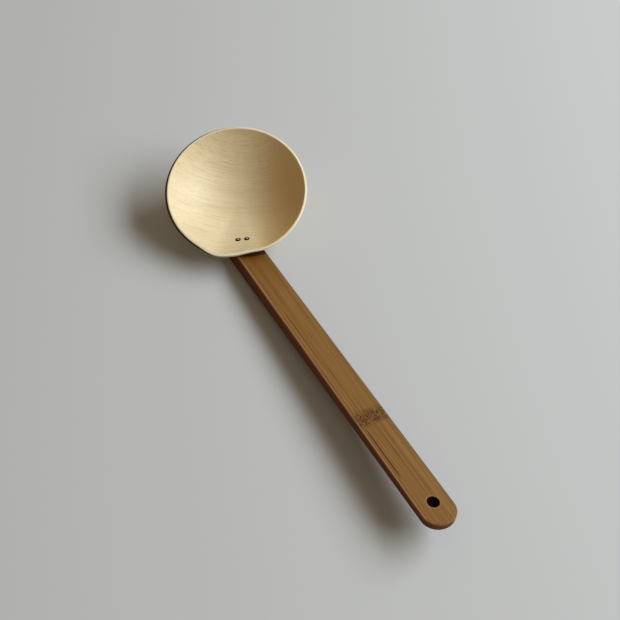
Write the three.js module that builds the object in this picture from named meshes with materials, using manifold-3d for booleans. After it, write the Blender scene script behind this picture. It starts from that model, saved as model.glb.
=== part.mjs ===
// Wooden soup ladle: a thin-lipped turned bowl, a flat bamboo handle and two pegs that join them.
// Millimetres, +Z up. The ladle lies as it rests on a table at z = 0, with its handle along +X.

import * as THREE from 'three';
import { mergeVertices } from 'three/addons/utils/BufferGeometryUtils.js';
import Module from 'manifold-3d';

// Bowl: its rim dips in over the handle and bulges beside it, and its hollow slopes up gently there
const RIM_RADIUS = 40.9;
const RIM_DIP = 1.25;
const RIM_DIP_ANGLE = 13;
const RIM_BULGE = 1.5;
const RIM_BULGE_ANGLE = -11.5;
const RIM_WAVE_SPREAD = 9.3;
const LIP_THICKNESS = 2.2;
const LIP_ROUNDING = 0.8;
const BOWL_DEPTH = 20;
const FLOOR_THICKNESS = 7.2;
const DEEPEST_POINT_SET_BACK = 6;
const WALL_SLACK_AROUND = -0.45;
const WALL_SLACK_AT_HANDLE = 0;

// How the bowl and the handle lie, in degrees
const BOWL_TILT = 18.5;
const BOWL_TURN = -32;
const HANDLE_RISE = 3;
const HANDLE_ROLL = 10;

// Handle: a bamboo strip that widens and thins towards its round tip
const HANDLE_LENGTH = 219;
const HANDLE_PAST_PEGS = 7.5;
const HANDLE_WIDTH_AT_BOWL = 17;
const HANDLE_WIDTH_AT_TIP = 18.9;
const HANDLE_THICKNESS_AT_BOWL = 10.2;
const HANDLE_THICKNESS_AT_TIP = 5.2;
const HANDLE_EDGE_ROUND = 0.8;
const TIP_ROUND_LENGTH = 8.6;
const HANGING_HOLE_DIAMETER = 6.6;
const HANGING_HOLE_FROM_TIP = 13.4;
const SEAT_DEPTH = 2.2;
const SEAT_CLEARANCE = 0.3;

// Pegs: two bamboo pins, driven square to the handle's face from inside the bowl
const PEG_DIAMETER = 2.6;
const PEG_SPACING = 4.9;
const PEGS_INSIDE_RIM = 12.3;
const PEGS_ASIDE = 4.5;
const PEG_PAIR_TURN = -31;
const PEG_GRIP_IN_HANDLE = 4;
const PEG_HEAD_PROUD = 0.3;
const PEG_EDGE_ROUND = 0.3;
const PEG_CLEARANCE = 0.3;

// Facets
const BOWL_SEGMENTS = 64;
const WALL_RINGS = 10;
const LIP_RINGS = 4;
const TIP_POINTS = 20;
const CIRCLE_POINTS = 16;
const EDGE_STEPS = 2;

const MAPLE = { color: 0xdcc59c, roughness: 0.45, metalness: 0 };
const SMOKED_BAMBOO = { color: 0x7a4f25, roughness: 0.5, metalness: 0 };
const PEG_BAMBOO = { color: 0x5f4331, roughness: 0.6, metalness: 0 };

const { degToRad, euclideanModulo, lerp, radToDeg } = THREE.MathUtils;

const wasm = await Module();
wasm.setup();

function joined(geometry) {
  const bare = geometry.clone();
  bare.deleteAttribute('normal');
  bare.deleteAttribute('uv');
  return mergeVertices(bare);
}

function solidOf(geometry) {
  const closed = joined(geometry);
  return new wasm.Manifold(new wasm.Mesh({
    numProp: 3,
    vertProperties: new Float32Array(closed.attributes.position.array),
    triVerts: new Uint32Array(closed.index.array),
  }));
}

function geometryOf(solid) {
  const mesh = solid.getMesh();
  const geometry = new THREE.BufferGeometry();
  geometry.setAttribute('position', new THREE.BufferAttribute(mesh.vertProperties, 3));
  geometry.setIndex(new THREE.BufferAttribute(mesh.triVerts, 1));
  geometry.computeVertexNormals();
  return geometry;
}

function piece(name, geometry, finish) {
  const mesh = new THREE.Mesh(geometry, new THREE.MeshStandardMaterial(finish));
  mesh.name = name;
  return mesh;
}

// A geometry with every vertex moved outward by the same amount
function grown(geometry, amount) {
  const larger = joined(geometry);
  larger.computeVertexNormals();
  const { position, normal } = larger.attributes;
  const point = new THREE.Vector3();
  const outward = new THREE.Vector3();
  for (let i = 0; i < position.count; i += 1) {
    point.fromBufferAttribute(position, i);
    outward.fromBufferAttribute(normal, i);
    point.addScaledVector(outward, amount);
    position.setXYZ(i, point.x, point.y, point.z);
  }
  return larger;
}

// Bowl, in its own frame: the rim lies in z = 0 with its centre at the origin, and +X is the low side.
// Angles turn about the deepest point, which is set back from the rim's centre.
function rimReach(angle) {
  const degrees = euclideanModulo(radToDeg(angle) + 180, 360) - 180;
  const wave = (middle) => Math.exp(-(((degrees - middle) / RIM_WAVE_SPREAD) ** 2));
  const radius = RIM_RADIUS + RIM_BULGE * wave(RIM_BULGE_ANGLE) - RIM_DIP * wave(RIM_DIP_ANGLE);
  const aside = DEEPEST_POINT_SET_BACK * Math.sin(angle);
  return DEEPEST_POINT_SET_BACK * Math.cos(angle) + Math.sqrt(radius ** 2 - aside ** 2);
}

// A wall's depth, at a share of the way from the deepest point to the lip.
// The more slack it has, the earlier it leaves the bottom and the more gently it meets the lip.
const pegsForward = RIM_RADIUS - PEGS_INSIDE_RIM;
const toPegs = new THREE.Vector2(DEEPEST_POINT_SET_BACK + pegsForward, PEGS_ASIDE);

function wallDepth(angle, share, deepest) {
  const towardsHandle = ((1 + Math.cos(angle - toPegs.angle())) / 2) ** 2;
  const slack = lerp(WALL_SLACK_AROUND, WALL_SLACK_AT_HANDLE, towardsHandle);
  const climb = ((1 + slack) * share ** 2) / (1 + slack * share);
  return lerp(deepest, LIP_ROUNDING, climb);
}

const hollowDepth = (angle, share) => wallDepth(angle, share, BOWL_DEPTH);
const outsideDepth = (angle, share) => wallDepth(angle, share, BOWL_DEPTH + FLOOR_THICKNESS);

// A sphere's rings laid over the hollow, round the lip and down the outside.
// A filled bowl has a flat lid in place of its hollow.
function bowlGeometry(filled) {
  const rings = 2 * WALL_RINGS + LIP_RINGS;
  const geometry = new THREE.SphereGeometry(1, BOWL_SEGMENTS, rings);
  const { position, uv } = geometry.attributes;
  for (let i = 0; i < position.count; i += 1) {
    const ring = Math.round((1 - uv.getY(i)) * rings);
    const angle = (uv.getX(i) % 1) * 2 * Math.PI + Math.PI;
    const reach = rimReach(angle);
    let radius;
    let depth;
    if (ring <= WALL_RINGS) {
      const share = ring / WALL_RINGS;
      radius = share * (reach - LIP_THICKNESS);
      depth = filled ? LIP_ROUNDING : hollowDepth(angle, share);
    } else if (ring < WALL_RINGS + LIP_RINGS) {
      const turn = (Math.PI * (ring - WALL_RINGS)) / LIP_RINGS;
      radius = reach - (LIP_THICKNESS / 2) * (1 + Math.cos(turn));
      depth = LIP_ROUNDING * (1 - Math.sin(turn));
    } else {
      const share = (rings - ring) / WALL_RINGS;
      radius = share * reach;
      depth = outsideDepth(angle, share);
    }
    const x = radius * Math.cos(angle) - DEEPEST_POINT_SET_BACK;
    const y = radius * Math.sin(angle);
    position.setXYZ(i, x, y, -depth);
  }
  return geometry;
}

// The bowl leans towards the handle and stands on the table
const bowl = piece('bowl', bowlGeometry(false), MAPLE);
bowl.rotation.set(0, degToRad(BOWL_TILT), degToRad(BOWL_TURN), 'ZYX');
bowl.updateMatrixWorld();
bowl.position.z = -new THREE.Box3().setFromObject(bowl, true).min.z;
bowl.updateMatrixWorld();

// The handle's frame has its origin between the pegs, on the handle's top face
const handleFrame = new THREE.Group();
handleFrame.rotation.set(-degToRad(HANDLE_ROLL), -degToRad(HANDLE_RISE), 0, 'YXZ');
const depthAtPegs = outsideDepth(toPegs.angle(), toPegs.length() / rimReach(toPegs.angle()));
const handleUp = new THREE.Vector3(0, 0, 1).applyEuler(handleFrame.rotation);
handleFrame.position.set(pegsForward, PEGS_ASIDE, -depthAtPegs).applyMatrix4(bowl.matrixWorld);
handleFrame.position.addScaledVector(handleUp, SEAT_DEPTH);
handleFrame.updateMatrixWorld();
const intoHandle = handleFrame.matrixWorld.clone().invert();
const bowlIntoHandle = intoHandle.clone().multiply(bowl.matrixWorld);

// Handle
const handleStart = -HANDLE_PAST_PEGS;
const handleTip = HANDLE_LENGTH - HANDLE_PAST_PEGS;
const alongHandle = (x) => (x - handleStart) / HANDLE_LENGTH;
const halfWidth = (x) => lerp(HANDLE_WIDTH_AT_BOWL, HANDLE_WIDTH_AT_TIP, alongHandle(x)) / 2;

function handleGeometry() {
  const outline = new THREE.Shape();
  const tipStart = handleTip - TIP_ROUND_LENGTH;
  outline.moveTo(handleStart, -halfWidth(handleStart));
  for (let i = 0; i <= TIP_POINTS; i += 1) {
    const turn = Math.PI * (i / TIP_POINTS - 0.5);
    outline.lineTo(tipStart + TIP_ROUND_LENGTH * Math.cos(turn), halfWidth(tipStart) * Math.sin(turn));
  }
  outline.lineTo(handleStart, halfWidth(handleStart));
  outline.closePath();
  const hangingHole = new THREE.Path();
  hangingHole.absarc(handleTip - HANGING_HOLE_FROM_TIP, 0, HANGING_HOLE_DIAMETER / 2, 0, 2 * Math.PI, true);
  outline.holes.push(hangingHole);
  const strip = new THREE.ExtrudeGeometry(outline, {
    depth: HANDLE_THICKNESS_AT_BOWL - 2 * HANDLE_EDGE_ROUND,
    bevelThickness: HANDLE_EDGE_ROUND,
    bevelSize: HANDLE_EDGE_ROUND,
    bevelOffset: -HANDLE_EDGE_ROUND,
    bevelSegments: EDGE_STEPS,
    curveSegments: CIRCLE_POINTS,
  });
  strip.translate(0, 0, HANDLE_EDGE_ROUND - HANDLE_THICKNESS_AT_BOWL);
  const { position } = strip.attributes;
  const thinning = HANDLE_THICKNESS_AT_TIP / HANDLE_THICKNESS_AT_BOWL;
  for (let i = 0; i < position.count; i += 1) {
    position.setZ(i, position.getZ(i) * lerp(1, thinning, alongHandle(position.getX(i))));
  }
  return strip;
}

// Pegs, in the handle's frame: each reaches from inside the handle to just above the bowl's hollow
const looking = new THREE.Raycaster();

function hollowAbove(x, y) {
  const start = new THREE.Vector3(x, y, 2 * RIM_RADIUS).applyMatrix4(handleFrame.matrixWorld);
  looking.set(start, handleUp.clone().negate());
  const [first] = looking.intersectObject(bowl);
  return handleFrame.worldToLocal(first.point).z;
}

function pin(x, y, diameter, bottom, top, edge) {
  const circle = new THREE.Shape();
  circle.absarc(x, y, diameter / 2, 0, 2 * Math.PI);
  const rod = new THREE.ExtrudeGeometry(circle, {
    depth: top - bottom - 2 * edge,
    bevelThickness: edge,
    bevelSize: edge,
    bevelOffset: -edge,
    bevelSegments: EDGE_STEPS,
    curveSegments: CIRCLE_POINTS,
  });
  rod.translate(0, 0, bottom + edge);
  return rod;
}

const across = new THREE.Vector2(0, PEG_SPACING / 2);
across.rotateAround(new THREE.Vector2(), degToRad(PEG_PAIR_TURN));
const pegBottom = -SEAT_DEPTH - PEG_GRIP_IN_HANDLE;
const boreDiameter = PEG_DIAMETER + 2 * PEG_CLEARANCE;
const pegs = [['peg_left', across.clone().negate()], ['peg_right', across]].map(([name, { x, y }]) => {
  const pegTop = hollowAbove(x, y) + PEG_HEAD_PROUD;
  const mesh = piece(name, pin(x, y, PEG_DIAMETER, pegBottom, pegTop, PEG_EDGE_ROUND), PEG_BAMBOO);
  const boreTop = pegTop + PEG_DIAMETER;
  const bore = pin(x, y, boreDiameter, pegBottom - PEG_CLEARANCE, boreTop, PEG_EDGE_ROUND);
  return { mesh, bore };
});

// Cuts: the bowl's seat, the flat heel on the table and the bores of the pegs
const filledBowl = grown(bowlGeometry(true), SEAT_CLEARANCE).applyMatrix4(bowlIntoHandle);
const tableSize = 3 * HANDLE_LENGTH;
const underTable = new THREE.BoxGeometry(tableSize, tableSize, RIM_RADIUS);
underTable.translate(0, 0, -RIM_RADIUS / 2).applyMatrix4(intoHandle);
let handleSolid = solidOf(handleGeometry()).subtract(solidOf(filledBowl)).subtract(solidOf(underTable));
let bowlSolid = solidOf(bowl.geometry.clone().applyMatrix4(bowlIntoHandle));
for (const { bore } of pegs) {
  handleSolid = handleSolid.subtract(solidOf(bore));
  bowlSolid = bowlSolid.subtract(solidOf(bore));
}
bowl.geometry = geometryOf(bowlSolid).applyMatrix4(bowlIntoHandle.clone().invert());
const handle = piece('handle', geometryOf(handleSolid), SMOKED_BAMBOO);

// The whole ladle, with the middle of its footprint at the origin
handleFrame.add(handle, ...pegs.map(({ mesh }) => mesh));
const ladle = new THREE.Group();
ladle.name = 'soup_ladle';
ladle.add(bowl, handleFrame);
const middle = new THREE.Box3().setFromObject(ladle, true).getCenter(new THREE.Vector3());
bowl.position.sub(new THREE.Vector3(middle.x, middle.y, 0));
handleFrame.position.sub(new THREE.Vector3(middle.x, middle.y, 0));

export default ladle;
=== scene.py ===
from math import cos, pi, radians, sin, tau

import bmesh
import bpy
from mathutils import Euler, Matrix, Vector


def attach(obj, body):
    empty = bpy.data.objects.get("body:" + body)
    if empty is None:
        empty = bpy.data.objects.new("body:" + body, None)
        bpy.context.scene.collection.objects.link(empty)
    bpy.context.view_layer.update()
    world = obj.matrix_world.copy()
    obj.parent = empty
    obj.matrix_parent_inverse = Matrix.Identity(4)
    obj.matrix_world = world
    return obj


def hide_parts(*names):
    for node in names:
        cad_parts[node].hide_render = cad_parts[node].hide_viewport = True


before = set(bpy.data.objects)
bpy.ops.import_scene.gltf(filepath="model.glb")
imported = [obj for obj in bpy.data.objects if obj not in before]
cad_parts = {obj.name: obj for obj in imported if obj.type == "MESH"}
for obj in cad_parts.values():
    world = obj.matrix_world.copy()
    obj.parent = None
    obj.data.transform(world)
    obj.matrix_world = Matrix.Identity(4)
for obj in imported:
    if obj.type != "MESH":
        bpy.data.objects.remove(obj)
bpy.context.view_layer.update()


# BOWL
# A shallow bowl turned from one block of pale maple, with a thin lip. Its rim dips in over the handle.
# The wood is oiled, so it has a soft shine. The handle is pegged on from underneath.

MM = 0.001
BOWL_CENTRE = Vector((-96.947, -0.149, 26.189)) * MM
BOWL_LEAN = Euler((0, radians(18.5), radians(-32)))
BOWL_RIM_RADIUS = 40.9 * MM
RIM_DIP, RIM_DIP_ANGLE = 1.25 * MM, radians(13)
RIM_BULGE, RIM_BULGE_ANGLE = 1.5 * MM, radians(-11.5)
RIM_WAVE_SPREAD = radians(9.3)
BOWL_LIP = 1.9 * MM
BOWL_LIP_ROUNDING = 0.35 * MM
BOWL_LIP_FALL = 0.2 * MM
LIP_THICKER_AT_LEFT = 0.45 * MM
LIP_PARING = 1.15 * MM
PARING_MORE_AT_LEFT = 0.4 * MM
PARING_LESS_AT_HANDLE = 0.6 * MM
PARING_CURVE = 1.5
BOWL_DEPTH = 20 * MM
BOWL_FLOOR = 7.12 * MM
BOWL_SET_BACK = 6 * MM
BOWL_PEG_SIDE = radians(7.4)
WALL_SLACK, WALL_SLACK_AT_HANDLE = -0.45, 0.0
# Painted shade: where the pared edge is painted darkest, how dark it is, and how dark the outside is painted
# all round
EDGE_DARKEST_ANGLE = radians(-80)
EDGE_DARKNESS_THERE, EDGE_DARKNESS_ROUND = 1.3, 0.25
OUTSIDE_DARKNESS = 0.25
MAPLE_PALE = (0.85, 0.70, 0.44)
MAPLE_GRAIN = (0.62, 0.44, 0.18)
MAPLE_FLECK = (0.36, 0.21, 0.07)
# Colour of the painted shade on the hollow's wall that faces away from the lamp
MAPLE_HOLLOW_SHADE = (0.64, 0.375, 0.090)
# Colour of the painted shade on the pared edge and the outside
MAPLE_EDGE_SHADE = (0.045, 0.014, 0.003)
# Colour of the painted highlight on the lip's top
MAPLE_LIP_HIGHLIGHT = (0.94, 0.82, 0.60)
GRAIN_LEAN = radians(-12)
# Where the painted shade in the hollow begins and where it is full, along the grain
HOLLOW_SHADE_FADE = (2 * MM, 32 * MM)


def calculator(tree):
    """A function that adds one math node to a tree and returns its result, for formulas in nodes."""
    def calc(operation, *values):
        node = tree.nodes.new("ShaderNodeMath")
        node.operation = operation
        for socket, value in zip(node.inputs, values):
            if isinstance(value, bpy.types.NodeSocket):
                tree.links.new(value, socket)
            else:
                socket.default_value = value
        return node.outputs[0]
    return calc


def add_node(tree, kind, *sources, **settings):
    """Adds a node, sets its properties and joins the given sockets to its first inputs."""
    node = tree.nodes.new(kind)
    for name, value in settings.items():
        setattr(node, name, value)
    for source, target in zip(sources, node.inputs):
        if source is not None:
            tree.links.new(source, target)
    return node


def kept_value(tree, geometry, name, value):
    """Keeps a value at every point of a shape under a name, so that its material can read it."""
    kept = add_node(tree, "GeometryNodeStoreNamedAttribute", geometry, data_type="FLOAT", domain="POINT")
    kept.inputs["Name"].default_value = name
    tree.links.new(value, kept.inputs["Value"])
    return kept.outputs[0]


def turned_bowl_nodes():
    """A grid bent into a bowl: its rows run up the hollow, over the lip and down the outside."""
    tree = bpy.data.node_groups.new("turned_bowl", "GeometryNodeTree")
    for name in ("Rim Radius", "Dip", "Bulge", "Lip", "Lip Rounding", "Lip Fall", "Depth", "Floor",
                 "Set Back", "Peg Side", "Slack", "Slack At Handle", "Grow"):
        tree.interface.new_socket(name, in_out="INPUT", socket_type="NodeSocketFloat")
    for name in ("Points Around", "Points Along"):
        tree.interface.new_socket(name, in_out="INPUT", socket_type="NodeSocketInt")
    tree.interface.new_socket("Lean", in_out="INPUT", socket_type="NodeSocketRotation")
    tree.interface.new_socket("Centre", in_out="INPUT", socket_type="NodeSocketVector")
    tree.interface.new_socket("Material", in_out="INPUT", socket_type="NodeSocketMaterial")
    tree.interface.new_socket("Geometry", in_out="OUTPUT", socket_type="NodeSocketGeometry")
    given = tree.nodes.new("NodeGroupInput").outputs
    calc = calculator(tree)

    grid = add_node(tree, "GeometryNodeMeshGrid")
    tree.links.new(given["Points Around"], grid.inputs["Vertices X"])
    tree.links.new(given["Points Along"], grid.inputs["Vertices Y"])
    at = add_node(tree, "ShaderNodeSeparateXYZ", tree.nodes.new("GeometryNodeInputPosition").outputs[0])
    angle = calc("MULTIPLY", at.outputs["X"], tau)
    along = calc("ADD", at.outputs["Y"], 0.5)

    # The rim's reach from the deepest point, which is set back from the rim's centre
    def wave(height, middle):
        offset = calc("DIVIDE", calc("SUBTRACT", angle, middle), RIM_WAVE_SPREAD)
        falling = calc("EXPONENT", calc("MULTIPLY", calc("MULTIPLY", offset, offset), -1))
        return calc("MULTIPLY", height, falling)

    radius = calc("ADD", given["Rim Radius"], wave(given["Bulge"], RIM_BULGE_ANGLE))
    radius = calc("SUBTRACT", radius, wave(given["Dip"], RIM_DIP_ANGLE))
    aside = calc("MULTIPLY", given["Set Back"], calc("SINE", angle))
    chord = calc("SQRT", calc("SUBTRACT", calc("MULTIPLY", radius, radius), calc("MULTIPLY", aside, aside)))
    reach = calc("ADD", calc("MULTIPLY", given["Set Back"], calc("COSINE", angle)), chord)

    # The more slack a wall has, the more gently it meets the lip
    to_pegs = calc("COSINE", calc("SUBTRACT", angle, given["Peg Side"]))
    pegward = calc("POWER", calc("MULTIPLY", calc("ADD", to_pegs, 1), 0.5), 2)
    more = calc("MULTIPLY", calc("SUBTRACT", given["Slack At Handle"], given["Slack"]), pegward)
    slack = calc("ADD", given["Slack"], more)

    def wall(share, deepest, upmost):
        rise = calc("MULTIPLY", calc("ADD", slack, 1), calc("MULTIPLY", share, share))
        climb = calc("DIVIDE", rise, calc("ADD", calc("MULTIPLY", slack, share), 1))
        return calc("ADD", deepest, calc("MULTIPLY", calc("SUBTRACT", upmost, deepest), climb))

    def part(start, end):
        """How far along a row is between two places, from 0 to 1."""
        between = add_node(tree, "ShaderNodeMapRange", along)
        between.inputs["From Min"].default_value = start
        between.inputs["From Max"].default_value = end
        return between.outputs[0]

    # The lip has a crisp inner edge and a narrow flat top. Its outer edge is pared off, most on the left.
    rightward = calc("SINE", angle)
    handleward = calc("POWER", calc("MAXIMUM", calc("COSINE", angle), 0), 2)
    lip = calc("SUBTRACT", given["Lip"], calc("MULTIPLY", rightward, LIP_THICKER_AT_LEFT))
    paring = calc("SUBTRACT", LIP_PARING, calc("MULTIPLY", rightward, PARING_MORE_AT_LEFT))
    paring = calc("SUBTRACT", paring, calc("MULTIPLY", handleward, PARING_LESS_AT_HANDLE))
    fall = calc("ADD", given["Lip Fall"], paring)
    hollow_end, top_start, top_end, dark_start = 0.46, 0.50, 0.53, 0.545
    outside_start, outside_plain = 0.60, 0.64
    turn = calc("MULTIPLY", part(hollow_end, top_start), pi / 2)
    on_top, on_paring = part(top_start, top_end), part(top_end, outside_start)
    inner = calc("MULTIPLY", given["Lip Rounding"], calc("SUBTRACT", 1, calc("COSINE", turn)))
    top_width = calc("SUBTRACT", calc("SUBTRACT", lip, given["Lip Rounding"]), paring)
    lip_out = calc("ADD", calc("SUBTRACT", reach, lip), inner)
    lip_out = calc("ADD", lip_out, calc("MULTIPLY", top_width, on_top))
    lip_out = calc("ADD", lip_out, calc("MULTIPLY", paring, on_paring))
    lip_down = calc("MULTIPLY", given["Lip Rounding"], calc("SUBTRACT", 1, calc("SINE", turn)))
    lip_down = calc("ADD", lip_down, calc("MULTIPLY", fall, calc("POWER", on_paring, PARING_CURVE)))

    in_hollow = calc("LESS_THAN", along, hollow_end)
    outside = calc("GREATER_THAN", along, outside_start)
    on_lip = calc("SUBTRACT", calc("SUBTRACT", 1, in_hollow), outside)
    hollow_share = part(0, hollow_end)
    outside_share = calc("SUBTRACT", 1, part(outside_start, 1))

    def chosen(for_hollow, for_lip, for_outside):
        inner = calc("ADD", calc("MULTIPLY", for_hollow, in_hollow), calc("MULTIPLY", for_lip, on_lip))
        return calc("ADD", inner, calc("MULTIPLY", for_outside, outside))

    out = chosen(calc("MULTIPLY", hollow_share, calc("SUBTRACT", reach, lip)),
                 lip_out,
                 calc("MULTIPLY", outside_share, reach))
    down = chosen(wall(hollow_share, given["Depth"], given["Lip Rounding"]),
                  lip_down,
                  wall(outside_share, calc("ADD", given["Depth"], given["Floor"]), fall))
    place = add_node(tree, "ShaderNodeCombineXYZ",
                     calc("SUBTRACT", calc("MULTIPLY", out, calc("COSINE", angle)), given["Set Back"]),
                     calc("MULTIPLY", out, calc("SINE", angle)),
                     calc("MULTIPLY", down, -1))

    # Painted shade: the pared edge is painted darkest on the left, away from the lamp, and the outside a
    # little all round
    to_darkest = calc("COSINE", calc("SUBTRACT", angle, EDGE_DARKEST_ANGLE))
    darkness = calc("ADD", calc("MULTIPLY", to_darkest, EDGE_DARKNESS_THERE), EDGE_DARKNESS_ROUND)
    darkness = calc("MULTIPLY", calc("MINIMUM", calc("MAXIMUM", darkness, 0), 1), part(top_end, dark_start))
    below = part(outside_start, outside_plain)
    above = calc("SUBTRACT", 1, below)
    painted_edge_shade = calc("ADD", calc("MULTIPLY", darkness, above), calc("MULTIPLY", below, OUTSIDE_DARKNESS))
    marked = kept_value(tree, grid.outputs["Mesh"], "painted_edge_shade", painted_edge_shade)
    # Painted highlight: the lip's top is tinted paler
    lip_top_highlight = calc("MULTIPLY", part(hollow_end, top_start), above)
    marked = kept_value(tree, marked, "lip_top_highlight", lip_top_highlight)
    bent = add_node(tree, "GeometryNodeSetPosition", marked, None, place.outputs[0])
    closed = add_node(tree, "GeometryNodeMergeByDistance", bent.outputs[0])
    closed.inputs["Distance"].default_value = 0.002 * MM
    outward = add_node(tree, "GeometryNodeFlipFaces", closed.outputs[0])
    swell = add_node(tree, "ShaderNodeVectorMath", tree.nodes.new("GeometryNodeInputNormal").outputs[0],
                     operation="SCALE")
    tree.links.new(given["Grow"], swell.inputs["Scale"])
    grown = add_node(tree, "GeometryNodeSetPosition", outward.outputs[0], None, None, swell.outputs[0])
    placed = add_node(tree, "GeometryNodeTransform", grown.outputs[0])
    tree.links.new(given["Centre"], placed.inputs["Translation"])
    tree.links.new(given["Lean"], placed.inputs["Rotation"])
    smooth = add_node(tree, "GeometryNodeSetShadeSmooth", placed.outputs[0])
    realized = add_node(tree, "GeometryNodeRealizeInstances", smooth.outputs[0])
    finished = add_node(tree, "GeometryNodeSetMaterial", realized.outputs[0])
    tree.links.new(given["Material"], finished.inputs["Material"])
    add_node(tree, "NodeGroupOutput", finished.outputs[0])
    return tree


def made_by_nodes(name, tree, **inputs):
    """Runs a node tree on an empty mesh and keeps the result as a plain mesh of that name."""
    made = bpy.data.objects.new(name, bpy.data.meshes.new("empty"))
    bpy.context.scene.collection.objects.link(made)
    modifier = made.modifiers.new(name, "NODES")
    modifier.node_group = tree
    for socket in tree.interface.items_tree:
        if socket.in_out == "INPUT":
            modifier[socket.identifier] = inputs[socket.name.lower().replace(" ", "_")]
    evaluated = made.evaluated_get(bpy.context.evaluated_depsgraph_get())
    plain = bpy.data.meshes.new_from_object(evaluated)
    made.modifiers.remove(modifier)
    made.data = plain
    return made


def fibre_nodes():
    """Wood fibres for any of the woods here: noise drawn out along X, as an amount from 0 to 1."""
    tree = bpy.data.node_groups.new("wood_fibres", "ShaderNodeTree")
    for name in ("Place", "Patches Per Metre"):
        tree.interface.new_socket(name, in_out="INPUT", socket_type="NodeSocketVector")
    for name in ("Detail", "None Below", "Full Above"):
        tree.interface.new_socket(name, in_out="INPUT", socket_type="NodeSocketFloat")
    tree.interface.new_socket("Amount", in_out="OUTPUT", socket_type="NodeSocketFloat")
    given = tree.nodes.new("NodeGroupInput").outputs
    drawn_out = add_node(tree, "ShaderNodeVectorMath", given["Place"], given["Patches Per Metre"],
                         operation="MULTIPLY")
    noise = add_node(tree, "ShaderNodeTexNoise", drawn_out.outputs[0])
    noise.inputs["Scale"].default_value = 1
    noise.inputs["Roughness"].default_value = 0.55
    noise.inputs["Distortion"].default_value = 0.35
    tree.links.new(given["Detail"], noise.inputs["Detail"])
    amount = add_node(tree, "ShaderNodeMapRange", noise.outputs["Fac"], given["None Below"],
                      given["Full Above"], interpolation_type="SMOOTHSTEP")
    add_node(tree, "NodeGroupOutput", amount.outputs[0])
    return tree


wood_fibres = fibre_nodes()


def fibres(tree, place, patches, detail, none_below, full_above):
    """Fibres at a place in the wood, with so many patches per metre along each axis."""
    group = add_node(tree, "ShaderNodeGroup", node_tree=wood_fibres)
    tree.links.new(place, group.inputs["Place"])
    group.inputs["Patches Per Metre"].default_value = patches
    group.inputs["Detail"].default_value = detail
    group.inputs["None Below"].default_value = none_below
    group.inputs["Full Above"].default_value = full_above
    return group.outputs["Amount"]


def new_finish(name, specular):
    """A material, its node tree and its principled shader."""
    finish = bpy.data.materials.new(name)
    finish.use_nodes = True
    shader = finish.node_tree.nodes["Principled BSDF"]
    shader.inputs["Specular IOR Level"].default_value = specular
    return finish, finish.node_tree, shader


def own_place(tree, origin, turned):
    """Where a point lies in a piece's own frame, in metres."""
    here = tree.nodes.new("ShaderNodeTexCoord")
    mapping = add_node(tree, "ShaderNodeMapping", here.outputs["Object"], vector_type="TEXTURE")
    mapping.inputs["Location"].default_value = origin
    mapping.inputs["Rotation"].default_value = turned
    return mapping.outputs[0]


def tint(tree, amount, strength, below, above):
    """Lays one colour over another by an amount that varies over the surface."""
    scaled = calculator(tree)("MULTIPLY", amount, strength)
    mix = add_node(tree, "ShaderNodeMix", scaled, data_type="RGBA")
    colour_a, colour_b = (socket for socket in mix.inputs if socket.type == "RGBA")
    for socket, colour in ((colour_a, below), (colour_b, above)):
        if isinstance(colour, bpy.types.NodeSocket):
            tree.links.new(colour, socket)
        else:
            socket.default_value = (*colour, 1)
    return next(socket for socket in mix.outputs if socket.type == "RGBA")


def layered(tree, ground, *layers):
    """Lays tints over a ground colour. Each has an amount over the surface, a strength and a colour."""
    colour = ground
    for amount, strength, above in layers:
        colour = tint(tree, amount, strength, colour, above)
    return colour


def faded(tree, value, none_at, full_at):
    """0 where a value is at one end, 1 at the other, and an even change between."""
    step = add_node(tree, "ShaderNodeMapRange", value, interpolation_type="SMOOTHSTEP")
    step.inputs["From Min"].default_value = none_at
    step.inputs["From Max"].default_value = full_at
    return step.outputs[0]


def roughened(tree, shader, amount, smoothest, roughest, bump_strength):
    """Gives a shader roughness and a fine relief from the same fibres."""
    calc = calculator(tree)
    rough = calc("ADD", calc("MULTIPLY", amount, roughest - smoothest), smoothest)
    tree.links.new(rough, shader.inputs["Roughness"])
    relief = add_node(tree, "ShaderNodeBump")
    relief.inputs["Strength"].default_value = bump_strength
    relief.inputs["Distance"].default_value = 0.2 * MM
    tree.links.new(amount, relief.inputs["Height"])
    tree.links.new(relief.outputs[0], shader.inputs["Normal"])


# The grain runs across the bowl, and its layers lean, so that they show as arcs in the hollow
maple, maple_tree, maple_shader = new_finish("oiled_maple", specular=1.0)
grain_turn = BOWL_LEAN.to_matrix() @ Euler((GRAIN_LEAN, 0, pi / 2)).to_matrix()
grain_place = own_place(maple_tree, BOWL_CENTRE, grain_turn.to_euler())
grain_lines = fibres(maple_tree, grain_place, (40, 850, 80), detail=3, none_below=0.52, full_above=0.70)
grain_bands = fibres(maple_tree, grain_place, (9, 160, 20), detail=2, none_below=0.42, full_above=0.72)
fine_grain = fibres(maple_tree, grain_place, (140, 2600, 400), detail=2, none_below=0.35, full_above=0.70)
flecks = fibres(maple_tree, grain_place, (200, 3000, 600), detail=1, none_below=0.62, full_above=0.76)
along_grain = add_node(maple_tree, "ShaderNodeSeparateXYZ", grain_place)
# Painted shade: the hollow darkens along the grain towards the wall that faces away from the lamp
hollow_shade = faded(maple_tree, along_grain.outputs["X"], *HOLLOW_SHADE_FADE)
# Painted highlight along the lip's top
lip_top_highlight = add_node(maple_tree, "ShaderNodeAttribute", attribute_name="lip_top_highlight")
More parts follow.
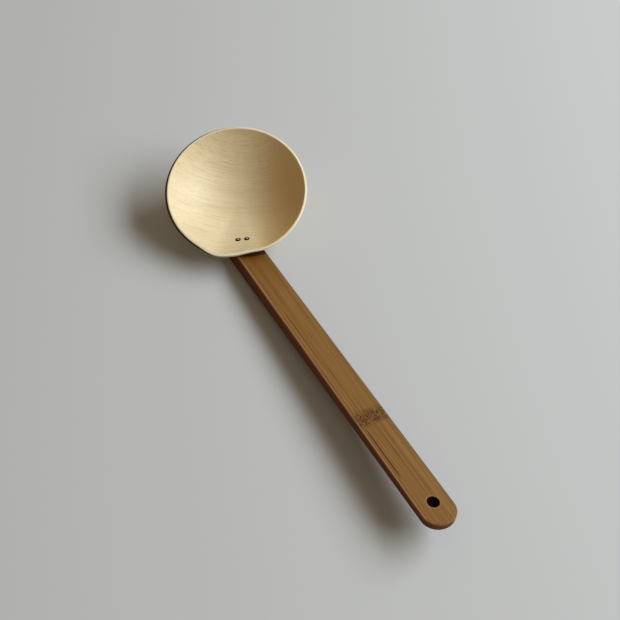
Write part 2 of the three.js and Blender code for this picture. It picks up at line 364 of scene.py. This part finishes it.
# Painted shade on the pared edge and the outside, which also takes the shine away there
painted_edge_shade = add_node(maple_tree, "ShaderNodeAttribute", attribute_name="painted_edge_shade")
maple_colour = layered(
    maple_tree, MAPLE_PALE,
    (hollow_shade, 0.82, MAPLE_HOLLOW_SHADE),
    (grain_bands, 0.28, MAPLE_GRAIN),
    (grain_lines, 0.42, MAPLE_GRAIN),
    (fine_grain, 0.30, MAPLE_GRAIN),
    (flecks, 0.40, MAPLE_FLECK),
    (lip_top_highlight.outputs["Fac"], 0.70, MAPLE_LIP_HIGHLIGHT),
    (painted_edge_shade.outputs["Fac"], 0.95, MAPLE_EDGE_SHADE))
maple_tree.links.new(maple_colour, maple_shader.inputs["Base Color"])
maple_shine = calculator(maple_tree)("SUBTRACT", 1, painted_edge_shade.outputs["Fac"])
maple_tree.links.new(maple_shine, maple_shader.inputs["Specular IOR Level"])
roughened(maple_tree, maple_shader, fine_grain, smoothest=0.54, roughest=0.68, bump_strength=0.16)

bowl_tree = turned_bowl_nodes()
bowl_shape = dict(
    rim_radius=BOWL_RIM_RADIUS, dip=RIM_DIP, bulge=RIM_BULGE, lip=BOWL_LIP, lip_rounding=BOWL_LIP_ROUNDING,
    lip_fall=BOWL_LIP_FALL, set_back=BOWL_SET_BACK, peg_side=BOWL_PEG_SIDE, slack=WALL_SLACK,
    slack_at_handle=WALL_SLACK_AT_HANDLE, lean=BOWL_LEAN, centre=BOWL_CENTRE, material=maple)
bowl = made_by_nodes("bowl_turned", bowl_tree, depth=BOWL_DEPTH, floor=BOWL_FLOOR, grow=0.0,
                     points_around=193, points_along=121, **bowl_shape)
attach(bowl, "root")
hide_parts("bowl")


# HANDLE
# A flat strip split from a bamboo stem and smoked brown, its outer skin on top, with a stem joint across it.
# It widens to a round tip with a hanging hole, whose wall is painted near-black as shade, and its end is cut
# to fit the bowl's outside.

HANDLE_ORIGIN = Vector((-74.906, -8.304, 7.890)) * MM
HANDLE_TURN = Euler((radians(-10), radians(-3), 0))
HANDLE_FRAME = Matrix.LocRotScale(HANDLE_ORIGIN, HANDLE_TURN, None)
HANDLE_START = -7.5 * MM
HANDLE_TIP = 211.5 * MM
HALF_WIDTH_AT_BOWL, HALF_WIDTH_AT_TIP = 8.5 * MM, 9.45 * MM
THICK_AT_BOWL, THICK_AT_TIP = 10.2 * MM, 5.2 * MM
TOP_ROUNDING, BACK_ROUNDING = 0.6 * MM, 1.6 * MM
HANDLE_CROWN = 0.25 * MM
TIP_ROUND_LENGTH = 8.6 * MM
HOLE_PLACE = HANDLE_TIP - 13.4 * MM
HOLE_RADIUS = 3.1 * MM
HOLE_ROUNDING = 0.35 * MM
HOLE_NARROWING = 1.1 * MM
HOLE_SKEW = (0.207, -0.188)
CUTTER_OVERRUN = 2 * MM
SEAT_CLEARANCE = 0.3 * MM
STEM_JOINT = 140.9 * MM
BAMBOO_SKIN = (0.292, 0.142, 0.040)
BAMBOO_FIBRE = (0.138, 0.052, 0.007)
BAMBOO_LINE = (0.045, 0.013, 0.003)
# Colour of the painted shade on the handle's end beside the bowl
BAMBOO_NEAR_BOWL_SHADE = (0.150, 0.050, 0.001)
# Colour of the painted shade on the handle's sides and back
BAMBOO_SIDE_SHADE = (0.125, 0.029, 0.006)
# Colour of the painted highlights on the left edge and round the hole's mouth
BAMBOO_HIGHLIGHT = (0.420, 0.220, 0.110)
# Colour of the painted near-black shade in the hole's wall
HOLE_WALL_SHADE_COLOUR = (0.010, 0.003, 0.001)
SPLIT_MIDDLE, SPLIT_ASIDE = 163 * MM, -6.6 * MM
SCARS_PER_METRE = (650, 2100, 2100)

# Where each mark on the bamboo ends, and where it is full
# Painted shade on the handle's end beside the bowl
NEAR_BOWL_SHADE_FADE = (50 * MM, 5 * MM)
# Painted shadow on the handle along the bowl's lip
LIP_SHADOW_FADE = (40.8 * MM, 39.4 * MM)
SPLIT_LENGTH_FADE = (19 * MM, 12 * MM)
SPLIT_WIDTH_FADE = (0.60 * MM, 0.20 * MM)
JOINT_FADE = (6.6 * MM, 2.0 * MM)
SCAR_FADE = (0.56, 0.40)
# Painted shade on the handle's sides and back
SIDE_SHADE_FADE = (-0.5 * MM, -1.4 * MM)
TOP_FADE = (-0.7 * MM, -0.2 * MM)
# Painted highlight along the left edge
LEFT_EDGE_HIGHLIGHT_FADE = (1.3 * MM, 0.6 * MM)
# Painted shade line along the right edge
RIGHT_EDGE_SHADE_FADE = (0.9 * MM, 0.3 * MM)
# Painted highlight round the hole's mouth
HOLE_MOUTH_HIGHLIGHT_FADE = (4.4 * MM, 3.5 * MM)
# Painted shade in the hole's wall
HOLE_WALL_SHADE_FADE = (3.35 * MM, 3.2 * MM)


def along_handle(at_bowl, at_tip, x):
    return at_bowl + (at_tip - at_bowl) * (x - HANDLE_START) / (HANDLE_TIP - HANDLE_START)


def bamboo_strip():
    """A crowned top and a flat back inside one outline, joined round the edge by two roundings and a wall."""
    across, lengthwise, tip_rows, edge_rows = 20, 110, 24, 5
    tip_start = HANDLE_TIP - TIP_ROUND_LENGTH
    built = bmesh.new()
    walls = []
    for rounding, is_top in ((TOP_ROUNDING, True), (BACK_ROUNDING, False)):
        start = HANDLE_START + rounding
        rows = []
        for i in range(lengthwise + 1):
            x = start + (tip_start - start) * i / lengthwise
            rows.append((x, along_handle(HALF_WIDTH_AT_BOWL, HALF_WIDTH_AT_TIP, x) - rounding))
        widest = rows[-1][1]
        for i in range(1, tip_rows):
            turn = pi / 2 * i / tip_rows
            rows.append((tip_start + (TIP_ROUND_LENGTH - rounding) * sin(turn), widest * cos(turn)))

        def height(x, y):
            if is_top:
                return -HANDLE_CROWN * (y / HALF_WIDTH_AT_TIP) ** 2
            return -along_handle(THICK_AT_BOWL, THICK_AT_TIP, x)

        lines = []
        for x, half in rows:
            ys = [half * (2 * j / across - 1) for j in range(across + 1)]
            lines.append([built.verts.new((x, y, height(x, y))) for y in ys])
        end = built.verts.new((HANDLE_TIP - rounding, 0, height(HANDLE_TIP, 0)))
        for near, far in zip(lines, lines[1:]):
            for j in range(across):
                built.faces.new((near[j], far[j], far[j + 1], near[j + 1]))
        for j in range(across):
            built.faces.new((lines[-1][j], end, lines[-1][j + 1]))
        rim = [line[0] for line in lines] + [end] + [line[-1] for line in reversed(lines)]
        rim += list(reversed(lines[0][1:-1]))

        # The rim moves outward and towards the other face in a quarter turn
        rings = [rim]
        count = len(rim)
        for step in range(1, edge_rows + 1):
            turn = pi / 2 * step / edge_rows
            ring = []
            for k in range(count):
                along = rim[(k + 1) % count].co - rim[k - 1].co
                outward = Vector((along.y, -along.x, 0)).normalized() * rounding * sin(turn)
                inward = rounding * (1 - cos(turn)) * (-1 if is_top else 1)
                ring.append(built.verts.new(rim[k].co + outward + Vector((0, 0, inward))))
            rings.append(ring)
        walls += rings if is_top else list(reversed(rings))
    for upper, lower in zip(walls, walls[1:]):
        for k in range(len(upper)):
            after = (k + 1) % len(upper)
            built.faces.new((upper[k], lower[k], lower[after], upper[after]))
    bmesh.ops.recalc_face_normals(built, faces=built.faces)
    built.transform(HANDLE_FRAME)
    return built


def placed_object(name, built):
    """An object with the mesh just built."""
    mesh = bpy.data.meshes.new(name)
    built.to_mesh(mesh)
    built.free()
    made = bpy.data.objects.new(name, mesh)
    bpy.context.scene.collection.objects.link(made)
    return made


def spool(profile, segments=72):
    """A solid turned about the hanging hole's slightly skew axis, from pairs of radius and height."""
    built = bmesh.new()
    rings = []
    for radius, height in profile:
        x, y = HOLE_PLACE - height * HOLE_SKEW[0], -height * HOLE_SKEW[1]
        turns = [tau * k / segments for k in range(segments)]
        rings.append([built.verts.new((x + radius * cos(t), y + radius * sin(t), height)) for t in turns])
    for lower, upper in zip(rings, rings[1:]):
        for k in range(segments):
            after = (k + 1) % segments
            built.faces.new((lower[k], lower[after], upper[after], upper[k]))
    built.faces.new(list(reversed(rings[0])))
    built.faces.new(rings[-1])
    built.transform(HANDLE_FRAME)
    return built


def cut(whole, *cutters):
    """Cuts solids out of a piece, keeps the result as a plain mesh and clears the cutters away."""
    for cutter in cutters:
        modifier = whole.modifiers.new("cut", "BOOLEAN")
        modifier.operation = "DIFFERENCE"
        modifier.solver = "EXACT"
        modifier.object = cutter
    evaluated = whole.evaluated_get(bpy.context.evaluated_depsgraph_get())
    left_over = bpy.data.meshes.new_from_object(evaluated)
    whole.modifiers.clear()
    whole.data = left_over
    for cutter in cutters:
        bpy.data.objects.remove(cutter)
    left_over.shade_smooth()
    left_over.set_sharp_from_angle(angle=radians(40))


def away(calc, across, along):
    """The distance from an axis to a place, from the place's two coordinates."""
    return calc("SQRT", calc("ADD", calc("POWER", across, 2), calc("POWER", along, 2)))


bamboo, bamboo_tree, bamboo_shader = new_finish("smoked_bamboo", specular=0.14)
bamboo_place = own_place(bamboo_tree, HANDLE_ORIGIN, HANDLE_TURN)
calc = calculator(bamboo_tree)
x, y, z = add_node(bamboo_tree, "ShaderNodeSeparateXYZ", bamboo_place).outputs
strands = fibres(bamboo_tree, bamboo_place, (9, 1500, 1500), detail=3, none_below=0.34, full_above=0.68)
broad_bands = fibres(bamboo_tree, bamboo_place, (6, 260, 260), detail=2, none_below=0.45, full_above=0.75)
dark_hairs = fibres(bamboo_tree, bamboo_place, (17, 2300, 2300), detail=2, none_below=0.585, full_above=0.68)

# Painted shade: the end beside the bowl is darkened where the bowl shades it, and a painted shadow lies on
# the handle along the bowl's lip
near_bowl_shade = faded(bamboo_tree, x, *NEAR_BOWL_SHADE_FADE)
bowl_place = own_place(bamboo_tree, BOWL_CENTRE, BOWL_LEAN)
beside_bowl = add_node(bamboo_tree, "ShaderNodeSeparateXYZ", bowl_place)
from_bowl = away(calc, beside_bowl.outputs["X"], beside_bowl.outputs["Y"])
# Painted shadow on the handle right under the bowl's lip
lip_shadow = faded(bamboo_tree, from_bowl, *LIP_SHADOW_FADE)

# A fine split runs along the left side past the stem joint
from_split = calc("ABSOLUTE", calc("SUBTRACT", y, SPLIT_ASIDE))
along_split = calc("ABSOLUTE", calc("SUBTRACT", x, SPLIT_MIDDLE))
split = calc("MULTIPLY", faded(bamboo_tree, from_split, *SPLIT_WIDTH_FADE),
             faded(bamboo_tree, along_split, *SPLIT_LENGTH_FADE))

# The stem joint: a band of short dark root scars
scar_place = add_node(bamboo_tree, "ShaderNodeVectorMath", bamboo_place, operation="MULTIPLY")
scar_place.inputs[1].default_value = SCARS_PER_METRE
scar_cells = add_node(bamboo_tree, "ShaderNodeTexVoronoi", scar_place.outputs[0])
scar_cells.inputs["Scale"].default_value = 1
from_joint = calc("ABSOLUTE", calc("SUBTRACT", x, STEM_JOINT))
joint_band = faded(bamboo_tree, from_joint, *JOINT_FADE)
scars = calc("MULTIPLY", faded(bamboo_tree, scar_cells.outputs["Distance"], *SCAR_FADE), joint_band)

# Painted light: the sides are painted darker and redder as shade, the left edge has a painted pale highlight,
# the right edge a painted dark shade line, the hole's mouth a painted highlight and its wall painted
# near-black shade
side_shade = faded(bamboo_tree, z, *SIDE_SHADE_FADE)
upmost = faded(bamboo_tree, z, *TOP_FADE)
widening = (HALF_WIDTH_AT_TIP - HALF_WIDTH_AT_BOWL) / (HANDLE_TIP - HANDLE_START)
half_here = calc("ADD", calc("MULTIPLY", x, widening), HALF_WIDTH_AT_BOWL)
from_left, from_right = calc("ADD", half_here, y), calc("SUBTRACT", half_here, y)
left_edge_highlight = calc("MULTIPLY", faded(bamboo_tree, from_left, *LEFT_EDGE_HIGHLIGHT_FADE), upmost)
right_edge_shade = calc("MULTIPLY", faded(bamboo_tree, from_right, *RIGHT_EDGE_SHADE_FADE), upmost)
hole_x = calc("SUBTRACT", calc("ADD", x, calc("MULTIPLY", z, HOLE_SKEW[0])), HOLE_PLACE)
hole_y = calc("ADD", y, calc("MULTIPLY", z, HOLE_SKEW[1]))
from_hole = away(calc, hole_x, hole_y)
hole_mouth_highlight = calc("MULTIPLY", faded(bamboo_tree, from_hole, *HOLE_MOUTH_HIGHLIGHT_FADE), upmost)
hole_wall_shade = faded(bamboo_tree, from_hole, *HOLE_WALL_SHADE_FADE)

bamboo_colour = layered(
    bamboo_tree, BAMBOO_SKIN,
    (strands, 0.55, BAMBOO_FIBRE),
    (broad_bands, 0.35, BAMBOO_FIBRE),
    (dark_hairs, 0.70, BAMBOO_LINE),
    (near_bowl_shade, 0.50, BAMBOO_NEAR_BOWL_SHADE),
    (lip_shadow, 0.85, BAMBOO_LINE),
    (split, 0.85, BAMBOO_LINE),
    (joint_band, 0.30, BAMBOO_FIBRE),
    (scars, 0.95, BAMBOO_LINE),
    (side_shade, 0.95, BAMBOO_SIDE_SHADE),
    (left_edge_highlight, 0.65, BAMBOO_HIGHLIGHT),
    (right_edge_shade, 0.60, BAMBOO_LINE),
    (hole_mouth_highlight, 0.30, BAMBOO_HIGHLIGHT),
    (hole_wall_shade, 1.0, HOLE_WALL_SHADE_COLOUR))
bamboo_tree.links.new(bamboo_colour, bamboo_shader.inputs["Base Color"])
roughened(bamboo_tree, bamboo_shader, strands, smoothest=0.42, roughest=0.60, bump_strength=0.25)

handle = placed_object("handle_strip", bamboo_strip())
handle.data.materials.append(bamboo)
quarter = [pi / 2 * k / 6 for k in range(7)]
mouth = [(HOLE_RADIUS + HOLE_ROUNDING * (1 - sin(t)), HOLE_ROUNDING * (1 - cos(t))) for t in quarter]
hole_back = -along_handle(THICK_AT_BOWL, THICK_AT_TIP, HOLE_PLACE)
back_mouth = [(r - HOLE_NARROWING, hole_back + h) for r, h in mouth]
hole_profile = [(back_mouth[0][0], hole_back - CUTTER_OVERRUN)] + back_mouth
hole_profile += [(r, -h) for r, h in reversed(mouth)]
hole_profile += [(HOLE_RADIUS + HOLE_ROUNDING, CUTTER_OVERRUN)]
hole_cutter = placed_object("hole_cutter", spool(hole_profile))
seat_cutter = made_by_nodes("seat_cutter", bowl_tree, depth=BOWL_LIP_ROUNDING,
                            floor=BOWL_DEPTH + BOWL_FLOOR - BOWL_LIP_ROUNDING, grow=SEAT_CLEARANCE,
                            points_around=129, points_along=81, **bowl_shape)
under_table = bmesh.new()
bmesh.ops.create_cube(under_table, size=1, matrix=Matrix.Translation((0, 0, -0.5)))
table_cutter = placed_object("table_cutter", under_table)
cut(handle, hole_cutter, seat_cutter, table_cutter)
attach(handle, "root")
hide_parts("handle")


# PEGS
# Two thin bamboo pins with a dark skin and a paler core, driven through the bowl into the handle.
# Their heads are trimmed part of the way to the hollow's slope, just clear of it, and rubbed round.

PEG_RADIUS = 1.42 * MM
PEG_LENGTH = 8 * MM
PEG_DOME = 0.25 * MM
PEG_PROUD = 0.27 * MM
PEG_TRIM = 0.5
PEG_RUB = 2.6
PEG_HEAD_FROM = 0.49
PEG_PLACES = (-1.262 * MM, -2.100 * MM), (1.262 * MM, 2.100 * MM)
PEG_CORE = (0.55, 0.41, 0.31)
PEG_SKIN = (0.010, 0.003, 0.001)
PEG_CORE_FADE = (0.34, 0.50)


def driven_peg_nodes():
    """A pin with a domed head at each of two points, which keeps every point's distance from its axis."""
    tree = bpy.data.node_groups.new("driven_pegs", "GeometryNodeTree")
    for name in ("First Head", "Second Head", "Head Slope"):
        tree.interface.new_socket(name, in_out="INPUT", socket_type="NodeSocketVector")
    for name in ("Radius", "Length", "Dome"):
        tree.interface.new_socket(name, in_out="INPUT", socket_type="NodeSocketFloat")
    tree.interface.new_socket("Turn", in_out="INPUT", socket_type="NodeSocketRotation")
    tree.interface.new_socket("Material", in_out="INPUT", socket_type="NodeSocketMaterial")
    tree.interface.new_socket("Geometry", in_out="OUTPUT", socket_type="NodeSocketGeometry")
    given = tree.nodes.new("NodeGroupInput").outputs
    calc = calculator(tree)
    heads = add_node(tree, "GeometryNodeMeshLine", mode="END_POINTS")
    heads.inputs["Count"].default_value = 2
    tree.links.new(given["First Head"], heads.inputs["Start Location"])
    tree.links.new(given["Second Head"], heads.inputs["Offset"])
    pin = add_node(tree, "GeometryNodeMeshCylinder", fill_type="TRIANGLE_FAN")
    pin.inputs["Vertices"].default_value = 40
    pin.inputs["Side Segments"].default_value = 6
    pin.inputs["Fill Segments"].default_value = 8
    tree.links.new(given["Radius"], pin.inputs["Radius"])
    tree.links.new(given["Length"], pin.inputs["Depth"])

    at = add_node(tree, "ShaderNodeSeparateXYZ", tree.nodes.new("GeometryNodeInputPosition").outputs[0])
    out = calc("DIVIDE", away(calc, at.outputs["X"], at.outputs["Y"]), given["Radius"])
    on_head = calc("GREATER_THAN", at.outputs["Z"], calc("MULTIPLY", given["Length"], PEG_HEAD_FROM))
    rubbed = calc("MULTIPLY", calc("MULTIPLY", calc("POWER", out, PEG_RUB), given["Dome"]), on_head)
    slope = add_node(tree, "ShaderNodeSeparateXYZ", given["Head Slope"])
    slope_x = calc("MULTIPLY", at.outputs["X"], slope.outputs["X"])
    slope_y = calc("MULTIPLY", at.outputs["Y"], slope.outputs["Y"])
    sloped = calc("MULTIPLY", calc("ADD", slope_x, slope_y), on_head)
    lift = calc("SUBTRACT", calc("SUBTRACT", sloped, rubbed), calc("MULTIPLY", given["Length"], 0.5))
    moved = add_node(tree, "ShaderNodeCombineXYZ", None, None, lift)
    trimmed = add_node(tree, "GeometryNodeSetPosition", pin.outputs["Mesh"], None, None, moved.outputs[0])
    marked = kept_value(tree, trimmed.outputs[0], "from_axis", out)
    smooth = add_node(tree, "GeometryNodeSetShadeSmooth", marked)
    driven = add_node(tree, "GeometryNodeInstanceOnPoints", heads.outputs["Mesh"])
    tree.links.new(smooth.outputs[0], driven.inputs["Instance"])
    tree.links.new(given["Turn"], driven.inputs["Rotation"])
    realized = add_node(tree, "GeometryNodeRealizeInstances", driven.outputs[0])
    finished = add_node(tree, "GeometryNodeSetMaterial", realized.outputs[0])
    tree.links.new(given["Material"], finished.inputs["Material"])
    add_node(tree, "NodeGroupOutput", finished.outputs[0])
    return tree


peg_bamboo, peg_tree, peg_shader = new_finish("peg_bamboo", specular=0.08)
peg_out = add_node(peg_tree, "ShaderNodeAttribute", attribute_name="from_axis")
skin = faded(peg_tree, peg_out.outputs["Fac"], *PEG_CORE_FADE)
peg_place = own_place(peg_tree, HANDLE_ORIGIN, HANDLE_TURN)
pith = fibres(peg_tree, peg_place, (4200, 4200, 300), detail=1, none_below=0.45, full_above=0.70)
peg_colour = layered(peg_tree, PEG_CORE, (pith, 0.4, PEG_SKIN), (skin, 1.0, PEG_SKIN))
peg_tree.links.new(peg_colour, peg_shader.inputs["Base Color"])
roughened(peg_tree, peg_shader, pith, smoothest=0.50, roughest=0.65, bump_strength=0.2)

# The hollow slopes nearly alike at both heads
handle_up = HANDLE_FRAME.to_3x3().col[2]


def hollow_height(x, y):
    """The hollow's height over a place on the handle's top."""
    above = HANDLE_FRAME @ Vector((x, y, 60 * MM))
    _, met, _, _ = bowl.ray_cast(above, -handle_up)
    return (HANDLE_FRAME.inverted() @ met).z


peg_heads = []
for peg_x, peg_y in PEG_PLACES:
    peg_z = hollow_height(peg_x, peg_y) + PEG_DOME + PEG_PROUD
    peg_heads.append(HANDLE_FRAME @ Vector((peg_x, peg_y, peg_z)))
slope_along = (hollow_height(PEG_RADIUS, 0) - hollow_height(-PEG_RADIUS, 0)) / (2 * PEG_RADIUS)
slope_across = (hollow_height(0, PEG_RADIUS) - hollow_height(0, -PEG_RADIUS)) / (2 * PEG_RADIUS)
peg_slope = PEG_TRIM * Vector((slope_along, slope_across, 0))
pegs = made_by_nodes("pegs_driven", driven_peg_nodes(), first_head=peg_heads[0], second_head=peg_heads[1],
                     head_slope=peg_slope, radius=PEG_RADIUS, length=PEG_LENGTH, dome=PEG_DOME,
                     turn=HANDLE_TURN, material=peg_bamboo)
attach(pegs, "root")
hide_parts("peg_left", "peg_right")


# FLOOR
# A plain pale floor under the ladle, a little grey so that the pale wood stands out.
# Well away from the ladle it fades into the backdrop, as a studio cove does.

FLOOR_REACH = 3.0
FLOOR_GREY = (0.64, 0.64, 0.64)
BACKDROP_GREY = (0.52, 0.53, 0.53)
COVE_FADE = (0.45, 1.3)


def looked_at(tree):
    """1 for what the camera sees, straight or by way of a shine or glass, and 0 for what only gives light."""
    ray = tree.nodes.new("ShaderNodeLightPath").outputs
    calc = calculator(tree)
    seen = calc("MAXIMUM", ray["Is Camera Ray"], ray["Is Glossy Ray"])
    return calc("MAXIMUM", seen, ray["Is Transmission Ray"])


floor_mesh = bpy.data.meshes.new("floor")
floor_corners = [(FLOOR_REACH * x, FLOOR_REACH * y, 0) for x, y in ((-1, -1), (1, -1), (1, 1), (-1, 1))]
floor_mesh.from_pydata(floor_corners, [], [(0, 1, 2, 3)])
floor = bpy.data.objects.new("floor", floor_mesh)
bpy.context.scene.collection.objects.link(floor)
floor_paint, floor_tree, floor_shader = new_finish("floor_paint", specular=0.1)
floor_shader.inputs["Base Color"].default_value = (*FLOOR_GREY, 1)
floor_shader.inputs["Roughness"].default_value = 0.9
floor_place = floor_tree.nodes.new("ShaderNodeTexCoord")
from_ladle = add_node(floor_tree, "ShaderNodeVectorMath", floor_place.outputs["Object"], operation="LENGTH")
cove = faded(floor_tree, from_ladle.outputs["Value"], *COVE_FADE)
cove_amount = calculator(floor_tree)("MULTIPLY", cove, looked_at(floor_tree))
cove_colour = floor_tree.nodes.new("ShaderNodeEmission")
cove_colour.inputs["Color"].default_value = (*BACKDROP_GREY, 1)
floor_look = add_node(floor_tree, "ShaderNodeMixShader", cove_amount, floor_shader.outputs[0],
                      cove_colour.outputs[0])
floor_tree.links.new(floor_look.outputs[0], floor_tree.nodes["Material Output"].inputs["Surface"])
floor_mesh.materials.append(floor_paint)


# LIGHT
# One wide soft lamp, like a window to the right of the handle, a little cool.
# A weak, even, warm sky fills the shadows, and the camera sees a plain pale backdrop in its place.

LAMP_AZIMUTH = radians(67)
LAMP_ELEVATION = radians(38)
LAMP_DISTANCE = 2.0
LAMP_AIM = Vector((-0.04, 0.0, 0.02))
LAMP_WIDTH, LAMP_HEIGHT = 2.4, 0.9
LAMP_WATTS = 52
LAMP_COLOUR = (0.87, 0.95, 1.0)
SKY_COLOUR = (1.0, 0.80, 0.55)
SKY_STRENGTH = 0.20

lamp_data = bpy.data.lights.new("window_lamp", "AREA")
lamp_data.shape = "RECTANGLE"
lamp_data.size = LAMP_WIDTH
lamp_data.size_y = LAMP_HEIGHT
lamp_data.energy = LAMP_WATTS
lamp_data.color = LAMP_COLOUR
lamp = bpy.data.objects.new("window_lamp", lamp_data)


def direction(azimuth, elevation):
    """A direction of length 1 from its angle round the upright and its angle above the level."""
    return Vector((cos(elevation) * cos(azimuth), cos(elevation) * sin(azimuth), sin(elevation)))


lamp.location = LAMP_AIM + LAMP_DISTANCE * direction(LAMP_AZIMUTH, LAMP_ELEVATION)
lamp.rotation_euler = (LAMP_AIM - lamp.location).to_track_quat("-Z", "Y").to_euler()
bpy.context.scene.collection.objects.link(lamp)

sky = bpy.data.worlds.new("even_sky")
sky.use_nodes = True
sky_tree = sky.node_tree
sky_glow = sky_tree.nodes["Background"]
sky_glow.inputs["Color"].default_value = (*SKY_COLOUR, 1)
sky_glow.inputs["Strength"].default_value = SKY_STRENGTH
backdrop = add_node(sky_tree, "ShaderNodeBackground")
backdrop.inputs["Color"].default_value = (*BACKDROP_GREY, 1)
sky_seen = add_node(sky_tree, "ShaderNodeMixShader", looked_at(sky_tree), sky_glow.outputs[0],
                    backdrop.outputs[0])
sky_tree.links.new(sky_seen.outputs[0], sky_tree.nodes["World Output"].inputs["Surface"])
bpy.context.scene.world = sky


# CAMERA
# Where the photograph was taken from: above the handle's left side, looking down over it to the bowl.
# Its place, angles and lens were worked out from the rim's ellipse and the handle's edges.

CAMERA_PLACE = Vector((317.93, -186.78, 512.49)) * MM
CAMERA_AZIMUTH = radians(150.4)
CAMERA_ELEVATION = radians(-53)
CAMERA_SENSOR = 36
CAMERA_LENS = 66.83

camera_data = bpy.data.cameras.new("camera")
camera_data.sensor_width = CAMERA_SENSOR
camera_data.lens = CAMERA_LENS
camera = bpy.data.objects.new("camera", camera_data)
camera.location = CAMERA_PLACE
looking = direction(CAMERA_AZIMUTH, CAMERA_ELEVATION)
camera.rotation_euler = looking.to_track_quat("-Z", "Y").to_euler()
bpy.context.scene.collection.objects.link(camera)
bpy.context.scene.camera = camera

bpy.context.scene.view_settings.view_transform = "Standard"
